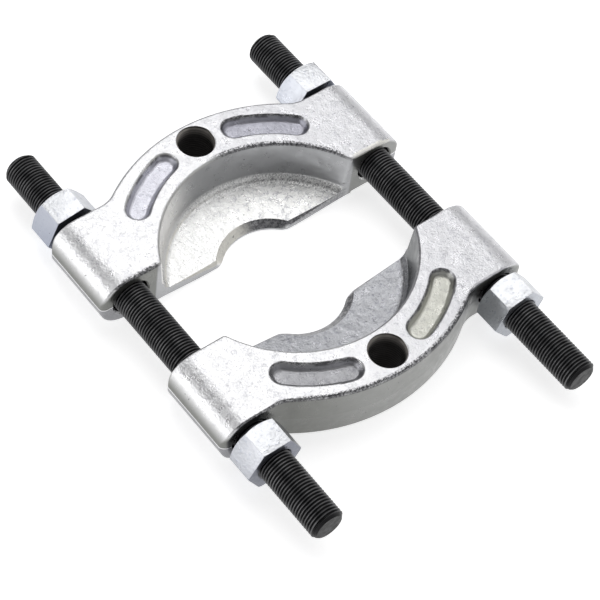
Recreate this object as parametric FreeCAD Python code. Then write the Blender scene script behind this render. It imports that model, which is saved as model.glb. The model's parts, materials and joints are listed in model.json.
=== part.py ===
import FreeCAD, Part
import math
import os

# Bearing separator: two forged jaws on two threaded studs, drawn together by four nuts.
# X runs from stud to stud, Y along the studs, Z up. The origin is midway between the two
# leg holes, on the plane of the blades' flat undersides. Millimetres.

# Studs
stud_thread = 16.0
stud_spacing = 135.0
left_stud_length = 223.5
left_stud_rear_end = 107.7
right_stud_length = 227.0
right_stud_rear_end = 106.7
stud_end_chamfer = 1.6

# Nuts
nut_across_flats = 24.0
nut_height = 14.2
nut_ear_gap = 2.55
nut_thread_clearance = 0.05
nut_crown_diameter = 23.2
nut_foot_diameter = 26.6
nut_crown_angle = 30.0
nut_mouth_chamfer = 0.7
rear_left_nut_turn = 8.5
rear_right_nut_turn = 0.0
front_left_nut_turn = 0.0
front_right_nut_turn = 9.0

# Places of the jaws: their split faces, from the origin
rear_split = 21.6
front_split = 22.8

# Arch and ears of one jaw. Its bosses stand out further than its stud bores are apart.
jaw_thickness = 26.0
ear_length = 40.25
left_boss_offset = 2.3
right_boss_offset = 1.3
ear_back_round = 4.5
ear_split_round = 3.5
ear_side_margin = 0.4
mouth_round = 2.0
arch_radius = 87.5
arch_width = 24.3
arch_fillet = 15.0
upper_draft = 0.9
lower_draft = 0.5
edge_round = 1.4

# Stud bores through the ears
stud_bore_clearance = 1.0
stud_bore_mouth = 0.7

# Recess inside the arch. The blade is let into the wall by the step that rounds its root.
recess_radius = 57.2
recess_depth = 33.7
recess_draft = 2.2
recess_wall = 21.0
recess_root_step = 4.8
recess_root_round = 4.3

# Blade
blade_slope = 6.5
land_drop = 1.4
land_radius = 37.0
land_rise_width = 18.0
lip_height = 1.0
split_bevel_length = 25.0
split_bevel_depth = 1.4
split_bevel_angle = 45.0

# Notch that clasps the shaft
notch_radius = 24.0
notch_depth = 7.8
notch_flare = 8.0
notch_bevel_share = 0.8
notch_bevel_angle = 42.0

# Threaded hole for a leg of the puller, drilled a little differently in each jaw
leg_thread = 18.0
rear_leg_hole_from_split = 46.4
front_leg_hole_from_split = 45.2

# Pockets in the top of the arch, along a path whose apex is measured from the split face
pocket_width = 11.6
pocket_depth = 3.2
pocket_wall_slope = 2.2
pocket_floor_round = 1.2
pocket_rim_round = 1.2
pocket_near_end = 13.0
pocket_far_end = 49.5
pocket_path_radius = 64.8
pocket_path_from_split = 46.4

# Room that cutting solids have past the face they cut
overrun = 5.0

# Levels and lines that follow from the sizes above. A jaw is made where the rear one stands.
stud_x = stud_spacing / 2
stud_radius = stud_thread / 2
split_y = rear_split
ear_back_y = split_y + ear_length
jaw_bottom = land_drop
jaw_top = jaw_bottom + jaw_thickness
axis_z = jaw_bottom + jaw_thickness / 2
boss_radius = jaw_thickness / 2
recess_y = split_y + recess_depth - recess_radius
arch_y = split_y + recess_depth + arch_width - arch_radius
notch_y = split_y + notch_depth - notch_radius
pocket_apex_y = split_y + pocket_path_from_split
root_radius = recess_radius - recess_draft
root_z = jaw_top - recess_wall
blade_fall = math.tan(math.radians(blade_slope))
bevel_rise = math.tan(math.radians(notch_bevel_angle))


def point(x, y, z):
    return FreeCAD.Vector(x, y, z)


def arc(start, middle, end):
    return Part.Arc(start, middle, end).toShape()


def face_of(edges):
    return Part.Face(Part.Wire(Part.__sortEdges__(edges)))


def rounded_profile(corners):
    # A closed outline in the XZ plane through corners given as (x, z, rounding radius).
    edges = []
    joins = []
    count = len(corners)
    for i in range(count):
        x, z, radius = corners[i]
        here = point(x, 0, z)
        if radius == 0:
            joins.append((here, here))
            continue
        following = corners[(i + 1) % count]
        to_before = (point(corners[i - 1][0], 0, corners[i - 1][1]) - here).normalize()
        to_after = (point(following[0], 0, following[1]) - here).normalize()
        half = to_before.getAngle(to_after) / 2
        inward = (to_before + to_after).normalize()
        centre = here + inward * (radius / math.sin(half))
        start = here + to_before * (radius / math.tan(half))
        end = here + to_after * (radius / math.tan(half))
        edges.append(arc(start, centre - inward * radius, end))
        joins.append((start, end))
    for i in range(count):
        if joins[i - 1][1].distanceToPoint(joins[i][0]) > 0.001:
            edges.append(Part.makeLine(joins[i - 1][1], joins[i][0]))
    return face_of(edges)


def turned(profile, axis_y):
    # A solid of revolution about the upright line through (0, axis_y).
    solid = profile.revolve(point(0, 0, 0), point(0, 0, 1), 360)
    solid.translate(point(0, axis_y, 0))
    return solid


def both_sides(shape):
    return [shape, shape.mirror(point(0, 0, 0), point(1, 0, 0))]


def ears():
    # One bar across both studs: flat above and below, round bosses at its ends,
    # and its upright corners rounded in plan.
    left_x = -stud_x - left_boss_offset
    right_x = stud_x + right_boss_offset
    edges = []
    for z in (jaw_top, jaw_bottom):
        edges.append(Part.makeLine(point(left_x, 0, z), point(right_x, 0, z)))
    for x, reach in ((left_x, -boss_radius), (right_x, boss_radius)):
        edges.append(arc(point(x, 0, jaw_top), point(x + reach, 0, axis_z), point(x, 0, jaw_bottom)))
    bar = face_of(edges).extrude(point(0, ear_length, 0))
    bar.translate(point(0, split_y, 0))
    left_side = left_x - boss_radius - ear_side_margin
    right_side = right_x + boss_radius + ear_side_margin
    plan = rounded_profile([(right_side, ear_back_y, ear_back_round),
                            (right_side, split_y, ear_split_round),
                            (left_side, split_y, ear_split_round),
                            (left_side, ear_back_y, ear_back_round)])
    plan.rotate(point(0, 0, 0), point(1, 0, 0), -90)
    return bar.common(plan.extrude(point(0, 0, jaw_top + overrun)))


def necked_outline(radius, centre_y, fillet, line_y, base_y, z):
    # A round head whose sides turn through fillets onto a line across it.
    reach = radius + fillet
    fillet_y = line_y + fillet
    fillet_x = math.sqrt(reach ** 2 - (fillet_y - centre_y) ** 2)
    turn = math.atan2(fillet_x, fillet_y - centre_y)
    right = [point(radius * math.sin(turn), centre_y + radius * math.cos(turn), z),
             point(fillet_x - fillet * math.sin(turn / 2), fillet_y - fillet * math.cos(turn / 2), z),
             point(fillet_x, line_y, z)]
    left = [point(-p.x, p.y, z) for p in right]
    base = [right[2], point(fillet_x, base_y, z), point(-fillet_x, base_y, z), left[2]]
    edges = [arc(left[0], point(0, centre_y + radius, z), right[0]), arc(*right)]
    edges += [Part.makeLine(base[i], base[i + 1]) for i in range(3)]
    edges.append(arc(left[2], left[1], left[0]))
    return Part.Wire(edges)


def arch_outline(inset, z):
    radius = arch_radius - inset
    return necked_outline(radius, arch_y, arch_fillet, ear_back_y, split_y + overrun, z)


def arch():
    # Drafted both ways from the parting line half way up, where the forging is widest.
    parting = arch_outline(0, axis_z)
    upper = Part.makeLoft([arch_outline(upper_draft, jaw_top), parting], True, True)
    lower = Part.makeLoft([parting, arch_outline(lower_draft, jaw_bottom)], True, True)
    return upper.fuse(lower)


def ring():
    # Arch and ears with the drafted opening through them and their edges rounded.
    blank = ears().fuse(arch()).removeSplitter()
    widening = recess_draft / recess_wall
    opening = Part.makeCone(recess_radius - widening * (jaw_top + overrun),
                            recess_radius + widening * overrun,
                            jaw_top + 2 * overrun, point(0, recess_y, -overrun))
    blank = blank.cut(opening).Solids[0]
    mouths = []
    for edge in blank.Edges:
        box = edge.BoundBox
        if box.YMax < split_y + 0.01 and box.ZLength > boss_radius and abs(box.Center.x) < stud_x:
            mouths.append(edge)
    blank = blank.makeFillet(mouth_round, mouths)
    top_edges = [e for e in blank.Edges if e.BoundBox.ZMin > jaw_top - 0.01]
    return blank.makeFillet(edge_round, top_edges)


def blade_top(radius):
    return root_z - (root_radius - radius) * blade_fall


def blade():
    # The thin wedge inside the arch. It falls from the root of the wall to the notch,
    # and underneath it stands on a flat land around the notch.
    widening = recess_draft / recess_wall
    fillet_top = root_z + recess_root_step
    fillet_edge = root_radius + recess_root_step * widening
    set_in = fillet_edge + recess_root_step
    profile = rounded_profile([(0, 0, 0),
                               (land_radius, 0, 0),
                               (land_radius + land_rise_width, land_drop, 0),
                               (set_in, land_drop, 0),
                               (set_in, fillet_top, 0),
                               (fillet_edge, fillet_top, 0),
                               (root_radius, root_z, recess_root_round),
                               (0, blade_top(0), 0)])
    half = Part.makeBox(4 * stud_x, 4 * stud_x, jaw_top, point(-2 * stud_x, split_y, 0))
    return turned(profile, recess_y).common(half)


def notch_outline(grow, z):
    return necked_outline(notch_radius + grow, notch_y, notch_flare - grow, split_y,
                          split_y - overrun, z)


def notch():
    # Upright at the lip, then bevelled back to the top of the blade. The bevel stays
    # narrower in plan than the flare it runs round.
    grow = notch_bevel_share * notch_flare
    bevel_top = lip_height + grow * bevel_rise
    lip = Part.Face(notch_outline(0, -overrun)).extrude(point(0, 0, overrun + lip_height))
    bevel = Part.makeLoft([notch_outline(0, lip_height), notch_outline(grow, bevel_top)], True, True)
    above = Part.Face(notch_outline(grow, bevel_top)).extrude(point(0, 0, jaw_top))
    return [lip, bevel, above]


def split_bevels():
    # The blade's edge on the split line is bevelled too, most beside the notch
    # and not at all at the root of the wall.
    fillet_y = split_y + notch_flare
    mouth_x = math.sqrt((notch_radius + notch_flare) ** 2 - (fillet_y - notch_y) ** 2)
    mouth_z = blade_top(math.hypot(mouth_x, split_y - recess_y)) - split_bevel_depth
    far_x = mouth_x + split_bevel_length
    far_z = blade_top(math.hypot(far_x, split_y - recess_y))
    near_x = mouth_x - notch_flare
    near_z = mouth_z - notch_flare * (far_z - mouth_z) / split_bevel_length
    run = split_bevel_depth + edge_round
    rise = run * math.tan(math.radians(split_bevel_angle))
    face = rounded_profile([(near_x, near_z, 0), (far_x, far_z, 0),
                            (far_x, far_z + run, 0), (near_x, far_z + run, 0)])
    face.translate(point(0, split_y, 0))
    return both_sides(face.extrude(point(0, run, rise)))


def pocket_outline(inset, z):
    # A slot bent along the arch, in plan.
    half = pocket_width / 2 - inset
    path_y = pocket_apex_y - pocket_path_radius
    near_turn = math.asin((pocket_near_end + pocket_width / 2) / pocket_path_radius)
    far_turn = math.asin((pocket_far_end - pocket_width / 2) / pocket_path_radius)

    def along(turn, out):
        radius = pocket_path_radius + out
        return point(radius * math.sin(turn), path_y + radius * math.cos(turn), z)

    def cap(turn, direction):
        tip = along(turn, 0)
        return point(tip.x + direction * half * math.cos(turn), tip.y - direction * half * math.sin(turn), z)

    middle = (near_turn + far_turn) / 2
    return Part.Wire([arc(along(near_turn, half), along(middle, half), along(far_turn, half)),
                      arc(along(far_turn, half), cap(far_turn, 1), along(far_turn, -half)),
                      arc(along(far_turn, -half), along(middle, -half), along(near_turn, -half)),
                      arc(along(near_turn, -half), cap(near_turn, -1), along(near_turn, half))])


def pockets():
    floor_z = jaw_top - pocket_depth
    tool = Part.makeLoft([pocket_outline(pocket_wall_slope, floor_z), pocket_outline(0, jaw_top)], True, True)
    floor_edges = [e for e in tool.Edges if e.BoundBox.ZMax < floor_z + 0.01]
    return both_sides(tool.makeFillet(pocket_floor_round, floor_edges))


def leg_hole(from_split):
    # Bored to the outer diameter of its thread.
    return Part.makeCylinder(leg_thread / 2, jaw_top + 2 * overrun,
                             point(0, split_y + from_split, -overrun))


def stud_bores():
    radius = stud_radius + stud_bore_clearance
    wide = radius + stud_bore_mouth
    tools = [Part.makeCylinder(radius, ear_length + 2 * overrun,
                               point(stud_x, split_y - overrun, axis_z), point(0, 1, 0))]
    for y, inward in ((split_y, 1), (ear_back_y, -1)):
        tools.append(Part.makeCone(wide, radius, stud_bore_mouth,
                                   point(stud_x, y, axis_z), point(0, inward, 0)))
    return [side for tool in tools for side in both_sides(tool)]


def forging():
    solid = ring().fuse(blade()).removeSplitter()
    for tool in notch() + split_bevels() + pockets():
        solid = solid.cut(tool)
    rims = []
    for edge in solid.Edges:
        box = edge.BoundBox
        on_top = box.ZMin > jaw_top - 0.01
        short = box.XLength < pocket_far_end - pocket_near_end
        near = box.YMin > recess_y + recess_radius / 2 and box.YMax < pocket_apex_y + pocket_width
        if on_top and short and near and abs(box.Center.x) < pocket_far_end:
            rims.append(edge)
    return solid.makeFillet(pocket_rim_round, rims)


def jaw(blank, leg_hole_from_split):
    solid = blank.cut(leg_hole(leg_hole_from_split))
    for tool in stud_bores():
        solid = solid.cut(tool)
    return solid.Solids[0]


def stud(length, rear_end, side):
    # A length of threaded rod, chamfered at both ends.
    core = stud_radius - stud_end_chamfer
    x = side * stud_x
    start = rear_end - length
    along = point(0, 1, 0)
    middle = Part.makeCylinder(stud_radius, length - 2 * stud_end_chamfer,
                               point(x, start + stud_end_chamfer, axis_z), along)
    front = Part.makeCone(core, stud_radius, stud_end_chamfer, point(x, start, axis_z), along)
    rear = Part.makeCone(stud_radius, core, stud_end_chamfer,
                         point(x, rear_end - stud_end_chamfer, axis_z), along)
    return middle.fuse([front, rear]).removeSplitter()


def nut(x, start_y, turn):
    # A hexagon nut, crowned on its rear face and lightly chamfered on its front face.
    # A turn of 0 has a flat uppermost.
    along = point(0, 1, 0)
    corner = nut_across_flats / math.sqrt(3)
    ring_points = []
    for i in range(7):
        angle = math.radians(60 * i + turn)
        ring_points.append(point(corner * math.cos(angle), 0, corner * math.sin(angle)))
    hexagon = Part.Face(Part.makePolygon(ring_points)).extrude(point(0, nut_height, 0))
    slope = math.tan(math.radians(nut_crown_angle))
    crown = nut_crown_diameter / 2
    crown_drop = (corner - crown) * slope
    foot = nut_foot_diameter / 2
    foot_drop = (corner - foot) * slope
    body = Part.makeCylinder(corner, nut_height - crown_drop - foot_drop, point(0, foot_drop, 0), along)
    top = Part.makeCone(corner, crown, crown_drop, point(0, nut_height - crown_drop, 0), along)
    bottom = Part.makeCone(foot, corner, foot_drop, point(0, 0, 0), along)
    solid = hexagon.common(body.fuse([top, bottom]))
    bore = stud_radius + nut_thread_clearance
    solid = solid.cut(Part.makeCylinder(bore, nut_height, point(0, 0, 0), along))
    for y, inward in ((0, 1), (nut_height, -1)):
        solid = solid.cut(Part.makeCone(bore + nut_mouth_chamfer, bore, nut_mouth_chamfer,
                                        point(0, y, 0), point(0, inward, 0)))
    solid.translate(point(x, start_y, axis_z))
    return solid


def build():
    blank = forging()
    rear_jaw = jaw(blank, rear_leg_hole_from_split)
    front_jaw = jaw(blank, front_leg_hole_from_split)
    front_jaw.rotate(point(0, 0, 0), point(0, 0, 1), 180)
    front_jaw.translate(point(0, rear_split - front_split, 0))
    rear_nut_y = rear_split + ear_length + nut_ear_gap
    front_nut_y = -front_split - ear_length - nut_ear_gap - nut_height
    return {
        "rear_jaw": rear_jaw,
        "front_jaw": front_jaw,
        "left_stud": stud(left_stud_length, left_stud_rear_end, -1),
        "right_stud": stud(right_stud_length, right_stud_rear_end, 1),
        "rear_nut_left": nut(-stud_x, rear_nut_y, rear_left_nut_turn),
        "rear_nut_right": nut(stud_x, rear_nut_y, rear_right_nut_turn),
        "front_nut_left": nut(-stud_x, front_nut_y, front_left_nut_turn),
        "front_nut_right": nut(stud_x, front_nut_y, front_right_nut_turn),
    }


os.makedirs("parts", exist_ok=True)
for name, solid in build().items():
    solid.exportStep("parts/" + name + ".step")
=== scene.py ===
import json
import math

import bmesh
import bpy
from mathutils import Matrix, Vector


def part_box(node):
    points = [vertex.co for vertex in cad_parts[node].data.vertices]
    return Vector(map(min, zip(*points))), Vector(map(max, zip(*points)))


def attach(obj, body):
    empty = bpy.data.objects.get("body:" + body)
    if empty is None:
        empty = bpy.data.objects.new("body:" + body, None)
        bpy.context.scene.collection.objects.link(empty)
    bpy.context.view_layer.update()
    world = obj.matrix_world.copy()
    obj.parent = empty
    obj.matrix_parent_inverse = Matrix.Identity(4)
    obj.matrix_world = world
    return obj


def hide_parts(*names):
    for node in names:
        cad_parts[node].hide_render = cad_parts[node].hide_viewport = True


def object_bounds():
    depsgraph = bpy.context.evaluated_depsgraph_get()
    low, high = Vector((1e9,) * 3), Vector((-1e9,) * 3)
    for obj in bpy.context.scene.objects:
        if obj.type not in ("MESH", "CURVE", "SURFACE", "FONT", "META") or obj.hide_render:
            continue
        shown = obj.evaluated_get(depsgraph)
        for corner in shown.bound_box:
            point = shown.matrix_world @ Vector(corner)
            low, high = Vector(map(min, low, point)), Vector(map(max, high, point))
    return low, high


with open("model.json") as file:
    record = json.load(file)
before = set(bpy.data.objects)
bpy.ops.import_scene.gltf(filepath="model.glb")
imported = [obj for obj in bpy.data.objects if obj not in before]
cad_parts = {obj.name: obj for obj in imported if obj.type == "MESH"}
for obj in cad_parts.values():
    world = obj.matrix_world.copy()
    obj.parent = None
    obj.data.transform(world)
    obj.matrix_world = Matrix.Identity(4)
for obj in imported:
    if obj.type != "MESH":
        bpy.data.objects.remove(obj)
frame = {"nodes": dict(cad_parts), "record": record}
cad_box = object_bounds()

# Studs: two lengths of M16 x 1.5 threaded rod, black oxide and lightly oiled. The thread runs
# over the whole length and the ends are sawn flat and chamfered. Each stud passes loosely
# through a boss of both jaws.
STUD_RADIUS = 0.008
STUD_ROOT_RADIUS = 0.00712
STUD_END_CHAMFER = 0.0016
THREAD_PITCH = 0.0015
THREAD_SIDES = 56
# One turn of thread as (share of the pitch, share of the depth), where the crest, the first
# flank, the root and the second flank start.
THREAD_FORM = ((0.0, 1.0), (0.14, 1.0), (0.46, 0.0), (0.68, 0.0))
MERGE_DISTANCE = 1e-6
OIL_BLACK = (0.012, 0.012, 0.013, 1)
# The crests carry a painted highlight, grey in patches, and the sawn ends painted shade.
CREST_HIGHLIGHT_GREY = (0.20, 0.20, 0.205, 1)
SAWN_SHADE_BLACK = (0.009, 0.009, 0.0095, 1)


def add(tree, kind, settings=None, **inputs):
    """A node with its inputs set or linked. An input is named, or numbered as in0, in1, in2."""
    made = tree.nodes.new(kind)
    for key, value in (settings or {}).items():
        setattr(made, key, value)
    for key, value in inputs.items():
        socket = made.inputs[int(key[2:])] if key[:2] == "in" else made.inputs[key]
        if isinstance(value, bpy.types.NodeSocket):
            tree.links.new(value, socket)
        else:
            socket.default_value = value
    return made


def metal(name, metallic):
    """A material, its node tree, its shader and the place of a point on the piece."""
    material = bpy.data.materials.new(name)
    material.use_nodes = True
    tree = material.node_tree
    shader = tree.nodes["Principled BSDF"]
    shader.inputs["Metallic"].default_value = metallic
    return material, tree, shader, add(tree, "ShaderNodeTexCoord")


def finish_with(tree, shader, colour, roughness, height, depth):
    """Links colour and roughness to the shader, and the height as a bump of that depth."""
    tree.links.new(colour, shader.inputs["Base Color"])
    tree.links.new(roughness, shader.inputs["Roughness"])
    bump = add(tree, "ShaderNodeBump", Strength=1.0, Distance=depth, Height=height)
    tree.links.new(bump.outputs[0], shader.inputs["Normal"])


def between(tree, value, low, high, out_low=0.0, out_high=1.0):
    """A smooth step from out_low to out_high while the value goes from low to high."""
    step = add(tree, "ShaderNodeMapRange", {"interpolation_type": "SMOOTHSTEP"}, in0=value,
               in1=low, in2=high, in3=out_low, in4=out_high)
    return step.outputs[0]


def blend(tree, share, first, second):
    """The first colour where the share is 0, and the second where it is 1."""
    mix = add(tree, "ShaderNodeMix", {"data_type": "RGBA"}, in0=share, in6=first, in7=second)
    return mix.outputs[2]


def reckon(tree, operation, first, second):
    return add(tree, "ShaderNodeMath", {"operation": operation}, in0=first, in1=second).outputs[0]


def times(tree, *shares):
    product = shares[0]
    for share in shares[1:]:
        product = reckon(tree, "MULTIPLY", product, share)
    return product


def off_axis(tree, first, second):
    """How far a point is from an axis, from its two distances at right angles."""
    across = add(tree, "ShaderNodeCombineXYZ", in0=first, in1=second)
    length = add(tree, "ShaderNodeVectorMath", {"operation": "LENGTH"}, in0=across.outputs[0])
    return length.outputs["Value"]


def noise(tree, place, grain, detail=2.0, roughness=0.5, distortion=0.0):
    """Noise whose grains are about grain metres apart."""
    made = add(tree, "ShaderNodeTexNoise", Vector=place, Scale=1 / grain, Detail=detail,
               Roughness=roughness, Distortion=distortion)
    return made.outputs[0]


def thread_rings(radius_at, low, high):
    """Rings of points on a right-hand thread from low to high, as (angle, height, radius)."""
    rings = []
    for turn in range(-1, int((high - low) / THREAD_PITCH) + 2):
        for share, depth in THREAD_FORM:
            ring = []
            for side in range(THREAD_SIDES):
                height = low + (turn + share + side / THREAD_SIDES) * THREAD_PITCH
                height = min(max(height, low), high)
                ring.append((math.tau * side / THREAD_SIDES, height, radius_at(height, depth)))
            rings.append(ring)
    return rings


def thread_faces(ring_count):
    """The faces between those rings. The last face of a ring meets the ring one turn on."""
    faces = []
    for ring in range(ring_count - len(THREAD_FORM) - 1):
        for side in range(THREAD_SIDES):
            near = ring * THREAD_SIDES + side
            beside = near + 1
            if side == THREAD_SIDES - 1:
                beside = (ring + len(THREAD_FORM)) * THREAD_SIDES
            faces.append((near, beside, beside + THREAD_SIDES, near + THREAD_SIDES))
    return faces


def piece_from(name, points, faces, closed=True):
    """A piece from points and faces, its doubled points merged and its open ends filled."""
    mesh = bpy.data.meshes.new(name)
    mesh.from_pydata(points, [], faces)
    work = bmesh.new()
    work.from_mesh(mesh)
    bmesh.ops.remove_doubles(work, verts=work.verts, dist=MERGE_DISTANCE)
    loose = [corner for corner in work.verts if not corner.link_faces]
    bmesh.ops.delete(work, geom=loose, context="VERTS")
    if closed:
        bmesh.ops.holes_fill(work, edges=work.edges, sides=0)
    bmesh.ops.recalc_face_normals(work, faces=work.faces)
    work.to_mesh(mesh)
    work.free()
    piece = bpy.data.objects.new(name, mesh)
    bpy.context.scene.collection.objects.link(piece)
    return piece


def black_oxide():
    """Oiled black, grey in patches along the crests as a painted highlight, and painted darkest
    on the sawn ends as shade.
    """
    material, tree, shader, place = metal("black_oxide", metallic=0.6)
    shader.inputs["Specular IOR Level"].default_value = 0.3
    where = place.outputs["Object"]
    at = add(tree, "ShaderNodeSeparateXYZ", in0=where).outputs
    from_axis = off_axis(tree, at[0], at[2])
    # Painted highlight: the crests are painted grey in patches.
    crest = between(tree, from_axis, STUD_RADIUS - 0.0006, STUD_RADIUS - 0.00005)
    patches = between(tree, noise(tree, where, grain=0.006, detail=3), 0.3, 0.7, 0.45, 1.0)
    colour = blend(tree, times(tree, crest, patches), OIL_BLACK, CREST_HIGHLIGHT_GREY)
    # Painted shade: the sawn ends are painted darkest.
    sawn_radius = STUD_RADIUS - STUD_END_CHAMFER
    off_sawn = between(tree, from_axis, sawn_radius, sawn_radius + 0.0005)
    colour = blend(tree, off_sawn, SAWN_SHADE_BLACK, colour)
    roughness = between(tree, noise(tree, where, grain=0.003), 0.3, 0.7, 0.34, 0.5)
    skin = noise(tree, where, grain=0.0009, detail=4)
    finish_with(tree, shader, colour, roughness, skin, depth=0.00008)
    return material


def stud(name, x, z, front, rear):
    """A stud along Y. Its points are set about its own axis, so the oxide knows the thread."""
    def radius_at(height, depth):
        thread = STUD_ROOT_RADIUS + depth * (STUD_RADIUS - STUD_ROOT_RADIUS)
        return min(thread, STUD_RADIUS - STUD_END_CHAMFER + min(height - front, rear - height))

    rings = thread_rings(radius_at, front, rear)
    points = [(r * math.cos(a), y, -r * math.sin(a)) for ring in rings for a, y, r in ring]
    piece = piece_from(name + "_thread", points, thread_faces(len(rings)))
    piece.location = (x, 0, z)
    piece.data.materials.append(oxide)
    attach(piece, "studs")
    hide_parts(name)


oxide = black_oxide()
for stud_name in ("left_stud", "right_stud"):
    low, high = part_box(stud_name)
    stud(stud_name, (low[0] + high[0]) / 2, (low[2] + high[2]) / 2, low[1], high[1])

# Jaws: two drop forgings in bright zinc. The draft walls came smooth out of the die, the tops
# keep a fine grain, and the flash was trimmed to a thin line at mid height. Each slides on
# both studs.
# Painted light and shade: the tops are painted darker towards the right, the rear blade light and
# the front blade dark.
TOP_WHITE = (0.83, 0.83, 0.84, 1)
TOP_SHADE_RIGHT = (0.69, 0.69, 0.71, 1)
REAR_BLADE_LIT_CREAM = (0.96, 0.96, 0.945, 1)
FRONT_BLADE_SHADE_GREY = (0.43, 0.435, 0.455, 1)
# The upright walls are painted darker than the tops as shade, the front inner wall darkest, and
# the rear inner wall is painted light where it faces right.
REAR_INNER_WALL_SHADE = (0.42, 0.425, 0.435, 1)
REAR_INNER_WALL_LIT = (0.96, 0.95, 0.935, 1)
FRONT_INNER_WALL_SHADE = (0.16, 0.165, 0.17, 1)
WALL_SHADE_GREY = (0.285, 0.288, 0.28, 1)
WALL_SHADE_GREY_LEFT = (0.20, 0.203, 0.192, 1)
# Painted shade on the bosses below the flash line.
UNDER_FLASH_SHADE = (0.36, 0.36, 0.39, 1)
# Painted light and shade on the pocket floors.
REAR_POCKET_LIT = (0.66, 0.66, 0.72, 1)
REAR_POCKET_SHADE = (0.42, 0.42, 0.47, 1)
FRONT_POCKET_LIT_CREAM = (0.58, 0.58, 0.53, 1)
FRONT_POCKET_SHADE_GREY = (0.37, 0.37, 0.385, 1)
# Painted shade on the pocket walls, bluish, a little lighter where they face right.
POCKET_WALL_SHADE = (0.20, 0.20, 0.24, 1)
POCKET_WALL_SHADE_LEFT = (0.24, 0.24, 0.23, 1)
PIT_SHADE = (0.58, 0.58, 0.62, 1)
# A painted highlight on edges, and painted shade on rims, on the foot of the rear recess wall and
# on bevels.
EDGE_HIGHLIGHT_CREAM = (0.96, 0.94, 0.87, 1)
RIM_SHADE_GREY = (0.42, 0.42, 0.40, 1)
FOOT_SHADE_GREY = (0.40, 0.40, 0.41, 1)
BEVEL_SHADE_GREY = (0.17, 0.17, 0.18, 1)
GRIT_BLACK = (0.06, 0.06, 0.065, 1)
ZINC_METALLIC = 0.92
# Less metallic where light is painted on the edges.
LIT_EDGE_METALLIC = 0.3
# Heights above the bench.
JAW_TOP = 0.0274
POCKET_FLOOR = 0.0242
FLASH_HEIGHT = 0.0144
BLADE_LIMIT = 0.0130
BLADE_SKIN_LIMIT = 0.0090
BEVEL_LIMIT = 0.0070
# Distances to the side of the middle, where the ears and bosses start and the pockets end.
EAR_START = 0.0515
BOSS_START = 0.0660
POCKET_END = 0.0540
# Radii of circles seen from above, and how far the centres lie from the middle.
POCKET_RING_CENTRE = 0.0038
POCKET_RING_INNER = 0.0580
POCKET_RING_OUTER = 0.0720
INNER_WALL_RING = 0.0570
REAR_RECESS_CENTRE = 0.0019
FRONT_RECESS_CENTRE = 0.0007
RECESS_RIM = 0.0586
RECESS_FOOT = 0.0510
ARCH_CENTRE = 0.0067
ARCH_RIM = 0.0852
# The rear jaw's top ends here, at the split.
SPLIT_EDGE = 0.0230


def above(tree, value, limit, blur):
    """1 where the value is above the limit and 0 below it, blurred that far to both sides."""
    return between(tree, value, limit - blur, limit + blur)


def under(tree, value, limit, blur):
    return between(tree, value, limit - blur, limit + blur, 1.0, 0.0)


def apart(tree, value, other=0.0):
    """How far a value is from another."""
    return reckon(tree, "ABSOLUTE", reckon(tree, "SUBTRACT", value, other), 0.0)


def larger(tree, first, second):
    return reckon(tree, "MAXIMUM", first, second)


def rest_of(tree, share):
    """What a share leaves of 1."""
    return reckon(tree, "SUBTRACT", 1.0, share)


class JawPlace:
    """Where a point lies on the jaws, as sockets that each part of the plating reads."""

    def __init__(self, tree, place):
        self.where = place.outputs["Object"]
        self.x, self.y, self.z = add(tree, "ShaderNodeSeparateXYZ", in0=self.where).outputs
        facing = add(tree, "ShaderNodeSeparateXYZ", in0=place.outputs["Normal"])
        self.facing_right, self.facing_rear, self.facing_up = facing.outputs
        self.sideways = apart(tree, self.x)
        self.rear = above(tree, self.y, 0.0, blur=0.001)
        self.right = above(tree, self.x, 0.0, blur=0.001)
        self.before_ears = under(tree, self.sideways, EAR_START, blur=0.0015)
        self.blade_skin = under(tree, self.z, BLADE_SKIN_LIMIT, blur=0.001)
        # The pockets lie on a ring round a point a little way out from the middle.
        outward = reckon(tree, "SUBTRACT", apart(tree, self.y), POCKET_RING_CENTRE)
        self.ring = off_axis(tree, self.x, outward)
        self.slot_ring = times(tree, above(tree, self.ring, POCKET_RING_INNER, blur=0.0005),
                               under(tree, self.ring, POCKET_RING_OUTER, blur=0.0005),
                               under(tree, self.sideways, POCKET_END, blur=0.001))
        self.pocket = times(tree, self.slot_ring,
                            under(tree, self.z, JAW_TOP - 0.0008, blur=0.0004),
                            above(tree, self.z, POCKET_FLOOR - 0.0005, blur=0.0005))
        # The circle of a recess has its centre past the middle, on the other jaw's side.
        past = between(tree, self.rear, 0.0, 1.0, FRONT_RECESS_CENTRE, REAR_RECESS_CENTRE)
        from_centre = reckon(tree, "ADD", apart(tree, self.y), past)
        self.from_recess = off_axis(tree, self.x, from_centre)


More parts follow.
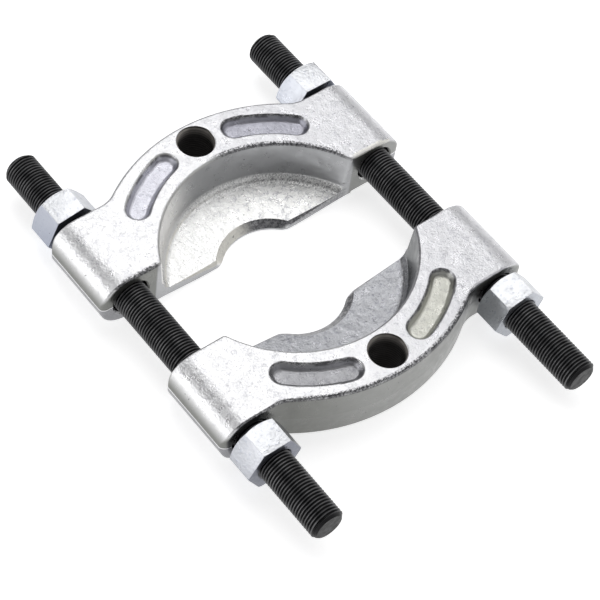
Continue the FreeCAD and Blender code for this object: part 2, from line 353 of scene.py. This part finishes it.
def plated_colour(tree, at):
    """The plate on tops, blades, walls and pockets. The tops are painted darker towards the
    right, as shade.
    """
    # The rear blade is painted light and the front blade shaded. The right tops are painted
    # shade.
    blade = blend(tree, at.rear, FRONT_BLADE_SHADE_GREY, REAR_BLADE_LIT_CREAM)
    plated = blend(tree, above(tree, at.x, 0.0, blur=0.04), TOP_WHITE, TOP_SHADE_RIGHT)
    top = blend(tree, under(tree, at.z, BLADE_LIMIT, blur=0.001), plated, blade)
    # Painted light on the rear jaw's inside wall, brightest where it faces right.
    within = under(tree, at.ring, INNER_WALL_RING, blur=0.0005)
    faces_right = between(tree, at.facing_right, 0.15, 0.6)
    rear_inner = blend(tree, faces_right, REAR_INNER_WALL_SHADE, REAR_INNER_WALL_LIT)
    # The outer walls are painted as shade, darker on the left, and the front jaw's inner wall
    # darker still.
    wall = blend(tree, between(tree, at.x, -0.050, -0.012), WALL_SHADE_GREY_LEFT, WALL_SHADE_GREY)
    wall = blend(tree, within, wall, FRONT_INNER_WALL_SHADE)
    wall = blend(tree, times(tree, at.rear, within), wall, rear_inner)
    # The pocket walls are painted as bluish shade, a little lighter where they face right.
    faces_right = between(tree, at.facing_right, 0.0, 0.5)
    pocket_wall = blend(tree, faces_right, POCKET_WALL_SHADE, POCKET_WALL_SHADE_LEFT)
    wall = blend(tree, at.pocket, wall, pocket_wall)
    # Painted light and shade on the pocket floors: the rear left and front right ones are painted
    # brighter, the other two darker. The rear pockets look bluish.
    front_floor = blend(tree, at.right, FRONT_POCKET_SHADE_GREY, FRONT_POCKET_LIT_CREAM)
    rear_floor = blend(tree, at.right, REAR_POCKET_LIT, REAR_POCKET_SHADE)
    top = blend(tree, at.pocket, top, blend(tree, at.rear, front_floor, rear_floor))
    # Faces that turn upright take the walls' painted shade.
    return blend(tree, between(tree, at.facing_up, 0.1, 0.8), wall, top)


def add_bevels(tree, at, colour):
    """The notches' and split line's bevels, painted as mottled shade, with painted light on the
    rear jaw where they face right, most of all on the left.
    """
    bevel = times(tree, under(tree, at.z, BEVEL_LIMIT, blur=0.0005),
                  between(tree, at.facing_up, 0.82, 0.93, 1.0, 0.0),
                  between(tree, at.facing_up, 0.3, 0.5))
    leftward = reckon(tree, "SUBTRACT", at.facing_right, times(tree, at.x, 25.0))
    # Painted light on the rear jaw's bevels where they face right, most of all on the left.
    lit_side = times(tree, between(tree, leftward, -0.35, 0.15), at.rear)
    mottle = noise(tree, at.where, grain=0.0012, detail=4, roughness=0.7)
    mottled_shade = blend(tree, between(tree, mottle, 0.42, 0.6), BEVEL_SHADE_GREY, FOOT_SHADE_GREY)
    colour = blend(tree, bevel, colour, blend(tree, lit_side, mottled_shade, EDGE_HIGHLIGHT_CREAM))
    # Right of the notch the upright edge under the split bevel carries the same mottled painted
    # shade.
    lip = times(tree, at.rear, above(tree, at.z, 0.0016, blur=0.0004),
                under(tree, at.z, BEVEL_LIMIT + 0.0004, blur=0.0004),
                between(tree, at.x, 0.015, 0.022), at.before_ears,
                between(tree, at.facing_rear, -0.95, -0.8, 1.0, 0.0))
    colour = blend(tree, times(tree, lip, 0.85), colour, mottled_shade)
    return colour, times(tree, bevel, lit_side)


def add_flash(tree, at, colour):
    """The trimmed flash, a line at mid height of the bosses with a painted highlight along it,
    and painted shade on the bosses below it.
    """
    boss = between(tree, at.sideways, BOSS_START, BOSS_START + 0.004)
    below = times(tree, boss, between(tree, at.z, FLASH_HEIGHT - 0.0006, FLASH_HEIGHT, 1.0, 0.0))
    colour = blend(tree, times(tree, below, 0.6), colour, UNDER_FLASH_SHADE)
    on_line = between(tree, apart(tree, at.z, FLASH_HEIGHT), 0.0002, 0.0005, 1.0, 0.0)
    flash = times(tree, boss, on_line)
    return blend(tree, flash, colour, TOP_WHITE), flash


def add_grain(tree, at, colour):
    """Grain of the die's skin, with painted shade in its pits and creases, and dirt as loose
    specks.
    """
    fine = noise(tree, at.where, grain=0.0008, detail=3, roughness=0.6, distortion=0.6)
    coarse = noise(tree, at.where, grain=0.0026, detail=4, roughness=0.55)
    grain = reckon(tree, "ADD", fine, times(tree, coarse, 1.3))
    topside = between(tree, at.facing_up, 0.2, 0.9, 0.12, 1.0)
    pits = times(tree, between(tree, grain, 1.2, 1.45, 0.0, 0.8), topside,
                 between(tree, at.z, 0.012, 0.020, 1.0, 0.6))
    # Fine creases where the skin of the blades folded under the die, painted dark as shade.
    fold = apart(tree, noise(tree, at.where, grain=0.006, detail=5), 0.5)
    creases = times(tree, between(tree, fold, 0.0, 0.014, 0.85, 0.0), topside, at.blade_skin)
    # The left of the rear blade came out smoother.
    smooth = times(tree, at.rear, at.blade_skin, between(tree, at.x, -0.020, 0.015, 0.65, 0.0))
    pit_and_crease_shade = times(tree, larger(tree, pits, creases), rest_of(tree, smooth))
    shaded = add(tree, "ShaderNodeMix", {"data_type": "RGBA", "blend_type": "MULTIPLY"},
                 in0=pit_and_crease_shade, in6=colour, in7=PIT_SHADE)
    dirt = noise(tree, at.where, grain=0.0021, detail=3, roughness=0.6)
    specks = between(tree, dirt, 0.69, 0.75, 0.0, 0.75)
    return blend(tree, specks, shaded.outputs[2], GRIT_BLACK), times(tree, grain, topside)


def add_scale(tree, at, colour):
    """Scale left on the rounded top edges, painted shade on other rounded edges, and a painted
    highlight on the edges of the rear jaw's right ear.
    """
    mottle = noise(tree, at.where, grain=0.0011, detail=6, roughness=0.8)
    patchy = between(tree, mottle, 0.44, 0.54, 0.0, 0.95)
    front = rest_of(tree, at.rear)
    flat = above(tree, at.z, JAW_TOP - 0.0002, blur=0.0001)
    rounded = times(tree, between(tree, at.facing_up, 0.05, 0.35),
                    between(tree, at.facing_up, 0.9, 0.995, 1.0, 0.0),
                    above(tree, at.z, JAW_TOP - 0.0020, blur=0.0004), rest_of(tree, at.pocket))
    near_edge = times(tree, rounded, between(tree, at.facing_rear, -0.3, -0.08, 1.0, 0.0))
    far_edge_shade = times(tree, rounded, between(tree, at.facing_rear, -0.1, 0.1),
                     between(tree, at.sideways, BOSS_START - 0.002, BOSS_START + 0.001, 1.0, 0.0))
    # Rounded top edges that face the rear, short of the bosses, are painted dark as shade.
    colour = blend(tree, times(tree, far_edge_shade, 0.75), colour, BEVEL_SHADE_GREY)
    # On the near edges all of the front jaw has scale, and of the rear jaw the right half and
    # the left ear. The right ears have none. On the rear jaw it spreads onto the top.
    scaly = larger(tree, front, between(tree, at.x, -0.006, 0.008))
    left_ear = between(tree, at.x, -EAR_START - 0.0035, -EAR_START - 0.0005, 1.0, 0.0)
    scaly = larger(tree, scaly, left_ear)
    before_right_ear = under(tree, at.x, EAR_START, blur=0.0015)
    rim = times(tree, near_edge, scaly, before_right_ear,
                between(tree, mottle, 0.38, 0.58, 0.4, 0.95))
    by_recess = between(tree, at.from_recess, RECESS_RIM, RECESS_RIM + 0.0009, 1.0, 0.0)
    by_recess = times(tree, by_recess, at.before_ears)
    by_split = times(tree, between(tree, at.y, SPLIT_EDGE, SPLIT_EDGE + 0.0010, 1.0, 0.0),
                     between(tree, at.sideways, EAR_START + 0.0005, EAR_START + 0.0035))
    spread = times(tree, at.rear, scaly, flat, patchy, larger(tree, by_recess, by_split),
                   before_right_ear)
    colour = blend(tree, larger(tree, rim, spread), colour, GRIT_BLACK)
    # On the front jaw it spreads onto the top along the arch's outer edge.
    from_arch = off_axis(tree, at.x, reckon(tree, "SUBTRACT", at.y, ARCH_CENTRE))
    by_arch = times(tree, front, flat, patchy,
                    between(tree, from_arch, ARCH_RIM - 0.0008, ARCH_RIM),
                    between(tree, at.sideways, 0.042, 0.048, 1.0, 0.0))
    colour = blend(tree, by_arch, colour, GRIT_BLACK)
    # The rear jaw's near rounded edges without scale are painted grey as shade.
    clean_edge_shade = times(tree, near_edge, at.rear, rest_of(tree, scaly))
    colour = blend(tree, times(tree, clean_edge_shade, 0.55), colour, RIM_SHADE_GREY)
    # A painted highlight on the rounded edges of the rear jaw's right ear.
    ear_highlight = times(tree, at.rear, between(tree, at.x, EAR_START + 0.0005, EAR_START + 0.0045),
                     larger(tree, near_edge, times(tree, flat, by_split)),
                     between(tree, mottle, 0.40, 0.54, 0.3, 1.0))
    return blend(tree, ear_highlight, colour, EDGE_HIGHLIGHT_CREAM), ear_highlight


def add_pocket_rims(tree, at, colour):
    """A broken dark line round the rims of the pockets."""
    broken = between(tree, noise(tree, at.where, grain=0.007, detail=3, roughness=0.6),
                     0.42, 0.58, 0.1, 0.75)
    line = times(tree, at.slot_ring, between(tree, at.z, JAW_TOP - 0.0018, JAW_TOP - 0.0011),
                 between(tree, at.z, JAW_TOP - 0.0007, JAW_TOP - 0.0002, 1.0, 0.0), broken)
    return blend(tree, line, colour, GRIT_BLACK)


def add_rough_foot(tree, at, colour):
    """The foot of the rear recess wall, rough from the die, with painted shade in the dips of its
    roughness, darker towards the right.
    """
    foot = times(tree, at.rear, above(tree, at.x, -0.020, blur=0.010),
                 between(tree, at.facing_up, 0.15, 0.4),
                 above(tree, at.from_recess, RECESS_FOOT, blur=0.001),
                 under(tree, at.z, 0.0100, blur=0.0008))
    # Painted shade in the dips of the rough foot, darker towards the right.
    hollow_shade = blend(tree, between(tree, at.x, 0.005, 0.030), FOOT_SHADE_GREY, BEVEL_SHADE_GREY)
    bumps = noise(tree, at.where, grain=0.0008, detail=4, roughness=0.8)
    rough = blend(tree, between(tree, bumps, 0.40, 0.56), hollow_shade, REAR_BLADE_LIT_CREAM)
    return blend(tree, times(tree, foot, 0.7), colour, rough)


def jaw_zinc():
    material, tree, shader, place = metal("jaw_zinc_plate", ZINC_METALLIC)
    at = JawPlace(tree, place)
    colour = plated_colour(tree, at)
    colour, lit_bevel = add_bevels(tree, at, colour)
    colour, flash = add_flash(tree, at, colour)
    colour, relief = add_grain(tree, at, colour)
    colour, ear_highlight = add_scale(tree, at, colour)
    colour = add_pocket_rims(tree, at, colour)
    colour = add_rough_foot(tree, at, colour)
    # Where light is painted on the edges, the plate is made less metallic, so that it scatters
    # the light.
    matt = larger(tree, ear_highlight, lit_bevel)
    metallic = between(tree, matt, 0.0, 1.0, ZINC_METALLIC, LIT_EDGE_METALLIC)
    tree.links.new(metallic, shader.inputs["Metallic"])
    sheen = noise(tree, at.where, grain=0.005, detail=3)
    roughness = between(tree, sheen, 0.3, 0.7, 0.26, 0.38)
    swell = noise(tree, at.where, grain=0.010)
    relief = reckon(tree, "ADD", relief, times(tree, swell, 2.0))
    relief = reckon(tree, "ADD", relief, times(tree, flash, 1.2))
    finish_with(tree, shader, colour, roughness, relief, depth=0.00022)
    return material


plate = jaw_zinc()
for jaw_name in ("rear_jaw", "front_jaw"):
    for slot in frame["nodes"][jaw_name].material_slots:
        slot.material = plate

# Leg holes: M18 x 1.5 threads tapped through the middle of each arch for a puller's legs. The
# thread was cut after forging and plated thinly, and only its first turns catch the light.
LEG_CREST_RADIUS = 0.0082
LEG_ROOT_RADIUS = 0.00897
LEG_MOUTH_LAND = 0.00015
LEG_END_GAP = 0.0001
JAW_HEIGHT = 0.026
PLATED_FROM = 0.0205
# The depth of the hole is painted black as shade.
TAPPED_SHADE_BLACK = (0.02, 0.018, 0.017, 1)
TAPPED_BROWN = (0.30, 0.28, 0.26, 1)


def leg_thread(name, body, y, low, high):
    """A threaded sleeve lining the bore, tapering out at both mouths to a short plain land."""
    def radius_at(height, depth):
        thread = LEG_ROOT_RADIUS - depth * (LEG_ROOT_RADIUS - LEG_CREST_RADIUS)
        mouth = LEG_ROOT_RADIUS + LEG_MOUTH_LAND - min(height - low, high - height)
        return min(max(thread, mouth), LEG_ROOT_RADIUS)

    rings = thread_rings(radius_at, low, high)
    points = [(r * math.cos(a), y + r * math.sin(a), z) for ring in rings for a, z, r in ring]
    piece = piece_from(name, points, thread_faces(len(rings)), closed=False)
    piece.data.flip_normals()
    piece.data.materials.append(tapped)
    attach(piece, body)


def tapped_steel():
    """Painted black as shade in the depth of the hole, brown where the plate reached, white at
    the mouth.
    """
    material, tree, shader, place = metal("tapped_steel", metallic=0.8)
    where = place.outputs["Object"]
    height = add(tree, "ShaderNodeSeparateXYZ", in0=where).outputs[2]
    facing_up = add(tree, "ShaderNodeSeparateXYZ", in0=place.outputs["Normal"]).outputs[2]
    patches = between(tree, noise(tree, where, grain=0.004, detail=3), 0.3, 0.7, 0.6, 1.0)
    plated = times(tree, patches, between(tree, height, PLATED_FROM, JAW_TOP))
    colour = blend(tree, plated, TAPPED_SHADE_BLACK, TAPPED_BROWN)
    mouth = times(tree, between(tree, height, JAW_TOP - 0.0008, JAW_TOP - 0.0005),
                  between(tree, facing_up, 0.4, 0.6))
    colour = blend(tree, mouth, colour, TOP_WHITE)
    roughness = between(tree, patches, 0.6, 1.0, 0.3, 0.42)
    skin = noise(tree, where, grain=0.0008, detail=4)
    finish_with(tree, shader, colour, roughness, skin, depth=0.00005)
    return material


tapped = tapped_steel()
leg_holes = {mount["name"]: mount["pos_m"] for mount in frame["record"]["mounts"]}
for jaw_name in ("rear_jaw", "front_jaw"):
    low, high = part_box(jaw_name)
    side = jaw_name.split("_")[0]
    leg_thread(side + "_leg_thread", jaw_name, leg_holes[side + "_leg_hole"][1],
               high[2] - JAW_HEIGHT + LEG_END_GAP, high[2] - LEG_END_GAP)

# Nuts: four M16 x 1.5 hexagon nuts in bright zinc, chamfered on both faces. One sits outside
# each boss and pushes the jaws together. Their sides are painted darker and bluer than their tops
# as shade, differently for each nut.
NUT_WHITE = (0.64, 0.65, 0.67, 1)
# Painted shade on the nuts' side facets, a different one for each nut.
REAR_NUT_SHADE_BLUE = (0.31, 0.335, 0.41, 1)
FRONT_LEFT_NUT_SHADE_GREY = (0.21, 0.22, 0.26, 1)
FRONT_RIGHT_NUT_SHADE_BLUE = (0.48, 0.50, 0.54, 1)
NUT_EDGE_ROUND = 0.00045
FLAT_ANGLE = math.radians(1)
SHARP_ANGLE = math.radians(20)


def nut_zinc():
    material, tree, shader, place = metal("nut_zinc_plate", ZINC_METALLIC)
    where = place.outputs["Object"]
    x, y = add(tree, "ShaderNodeSeparateXYZ", in0=where).outputs[:2]
    facing_up = add(tree, "ShaderNodeSeparateXYZ", in0=place.outputs["Normal"]).outputs[2]
    right = above(tree, x, 0.0, blur=0.001)
    # Painted shade on the side facets, darker and bluer than the tops and different for each nut.
    front_side = blend(tree, right, FRONT_LEFT_NUT_SHADE_GREY, FRONT_RIGHT_NUT_SHADE_BLUE)
    side = blend(tree, under(tree, y, 0.0, blur=0.001), REAR_NUT_SHADE_BLUE, front_side)
    colour = blend(tree, between(tree, facing_up, 0.1, 0.9), side, NUT_WHITE)
    grain = noise(tree, where, grain=0.0014, detail=4)
    # The grain's pits are painted in the rear nuts' shade colour.
    pits = between(tree, grain, 0.56, 0.72, 0.0, 0.5)
    colour = blend(tree, pits, colour, REAR_NUT_SHADE_BLUE)
    dirt = noise(tree, where, grain=0.0019, detail=3, roughness=0.6)
    colour = blend(tree, between(tree, dirt, 0.70, 0.76, 0.0, 0.6), colour, GRIT_BLACK)
    sheen = noise(tree, where, grain=0.005, detail=3)
    roughness = between(tree, sheen, 0.3, 0.7, 0.27, 0.38)
    finish_with(tree, shader, colour, roughness, grain, depth=0.00022)
    return material


def rounded_nut(name):
    """The nut's own faces with their edges broken, as plating and handling leave them."""
    mesh = frame["nodes"][name].data.copy()
    mesh.name = name + "_plated"
    work = bmesh.new()
    work.from_mesh(mesh)
    bmesh.ops.remove_doubles(work, verts=work.verts, dist=MERGE_DISTANCE)
    bmesh.ops.dissolve_limit(work, angle_limit=FLAT_ANGLE, verts=work.verts, edges=work.edges)
    sharp = [edge for edge in work.edges if edge.is_manifold
             and edge.calc_face_angle() > SHARP_ANGLE]
    bmesh.ops.bevel(work, geom=sharp, offset=NUT_EDGE_ROUND, segments=3, profile=0.5,
                    affect="EDGES", clamp_overlap=True)
    work.to_mesh(mesh)
    work.free()
    mesh.materials.clear()
    mesh.materials.append(bright)
    mesh.shade_smooth()
    piece = bpy.data.objects.new(name + "_plated", mesh)
    bpy.context.scene.collection.objects.link(piece)
    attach(piece, name)
    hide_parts(name)


bright = nut_zinc()
for nut_name in ("rear_nut_left", "rear_nut_right", "front_nut_left", "front_nut_right"):
    rounded_nut(nut_name)

# Studio: the separator lies on a white sheet whose rim curves up far away. A large overhead
# light and one from the left do most of the work, and weaker ones fill the right and front.
# The camera looks down from the front left, as in the photograph.
SHEET_PAPER = (0.82, 0.82, 0.82, 1)
SHEET_GLOW = 0.68
# The sheet's section as (radius, height).
SHEET_PROFILE = ((4.0, 0.0), (4.8, 0.05), (5.4, 0.25), (5.8, 0.7), (6.0, 1.5))
SHEET_SIDES = 64
SHEET_GAP = 0.0002
ROOM_WHITE = (0.80, 0.80, 0.81, 1)
ROOM_LEVEL = 0.3
CAMERA_PLACE = Vector((-0.422345, -0.421561, 0.797239))
CAMERA_AZIMUTH = math.radians(-45.9013)
CAMERA_ELEVATION = math.radians(53.6028)
CAMERA_ROLL = math.radians(9.8524)
CAMERA_LENS = 135.138
SENSOR_WIDTH = 36


def sheet_white():
    """White for the camera and for gloss, and plain matt paper for the light that falls on it."""
    material = bpy.data.materials.new("white_sheet")
    material.use_nodes = True
    tree = material.node_tree
    shader = tree.nodes["Principled BSDF"]
    shader.inputs["Base Color"].default_value = SHEET_PAPER
    shader.inputs["Roughness"].default_value = 0.9
    shader.inputs["Emission Color"].default_value = (1, 1, 1, 1)
    path = add(tree, "ShaderNodeLightPath").outputs
    seen = larger(tree, path["Is Camera Ray"], path["Is Glossy Ray"])
    seen = larger(tree, seen, path["Is Transmission Ray"])
    glow = between(tree, seen, 0.0, 1.0, 0.0, SHEET_GLOW)
    tree.links.new(glow, shader.inputs["Emission Strength"])
    return material


def white_sheet():
    """A round sheet, flat but for its rim."""
    points = []
    for radius, height in SHEET_PROFILE:
        for side in range(SHEET_SIDES):
            angle = math.tau * side / SHEET_SIDES
            points.append((radius * math.cos(angle), radius * math.sin(angle), height))
    faces = [tuple(range(SHEET_SIDES))]
    for step in range(len(SHEET_PROFILE) - 1):
        for side in range(SHEET_SIDES):
            near = step * SHEET_SIDES + side
            beside = step * SHEET_SIDES + (side + 1) % SHEET_SIDES
            faces.append((near, near + SHEET_SIDES, beside + SHEET_SIDES, beside))
    mesh = bpy.data.meshes.new("white_sheet")
    mesh.from_pydata(points, [], faces)
    mesh.shade_smooth()
    mesh.materials.append(sheet_white())
    floor = bpy.data.objects.new("white_sheet", mesh)
    floor.location = (0, 0, cad_box[0][2] - SHEET_GAP)
    bpy.context.scene.collection.objects.link(floor)


def softbox(name, place, width, height, level):
    """A rectangular light aimed at the separator. A level of 1 shows as white in a mirror."""
    lamp = bpy.data.lights.new(name, "AREA")
    lamp.shape = "RECTANGLE"
    lamp.size = width
    lamp.size_y = height
    lamp.energy = level * math.pi * width * height
    light = bpy.data.objects.new(name, lamp)
    light.location = place
    light.rotation_euler = (-Vector(place)).to_track_quat("-Z", "Y").to_euler()
    bpy.context.scene.collection.objects.link(light)


white_sheet()
softbox("overhead", (0.33, 0.62, 1.25), 1.05, 1.3, level=1.75)
softbox("left_strip", (-1.27, 0.59, 0.38), 1.6, 0.8, level=1.5)
softbox("right_fill", (1.0, -0.12, 0.95), 0.9, 0.9, level=0.95)
softbox("front_fill", (0.55, -1.2, 0.75), 1.8, 0.8, level=0.45)

room = bpy.data.worlds.new("studio")
room.use_nodes = True
bpy.context.scene.world = room
room.node_tree.nodes["Background"].inputs["Color"].default_value = ROOM_WHITE
room.node_tree.nodes["Background"].inputs["Strength"].default_value = ROOM_LEVEL

back = Vector((math.sin(CAMERA_AZIMUTH) * math.cos(CAMERA_ELEVATION),
               -math.cos(CAMERA_AZIMUTH) * math.cos(CAMERA_ELEVATION),
               math.sin(CAMERA_ELEVATION)))
level_right = Vector((math.cos(CAMERA_AZIMUTH), math.sin(CAMERA_AZIMUTH), 0))
level_up = back.cross(level_right)
rolled_right = math.cos(CAMERA_ROLL) * level_right + math.sin(CAMERA_ROLL) * level_up
rolled_up = back.cross(rolled_right)
lens = bpy.data.cameras.new("camera")
lens.sensor_width = SENSOR_WIDTH
lens.lens = CAMERA_LENS
camera = bpy.data.objects.new("camera", lens)
turned = Matrix((rolled_right, rolled_up, back)).transposed().to_4x4()
camera.matrix_world = Matrix.Translation(CAMERA_PLACE) @ turned
bpy.context.scene.collection.objects.link(camera)
bpy.context.scene.camera = camera
bpy.context.scene.view_settings.view_transform = "Standard"
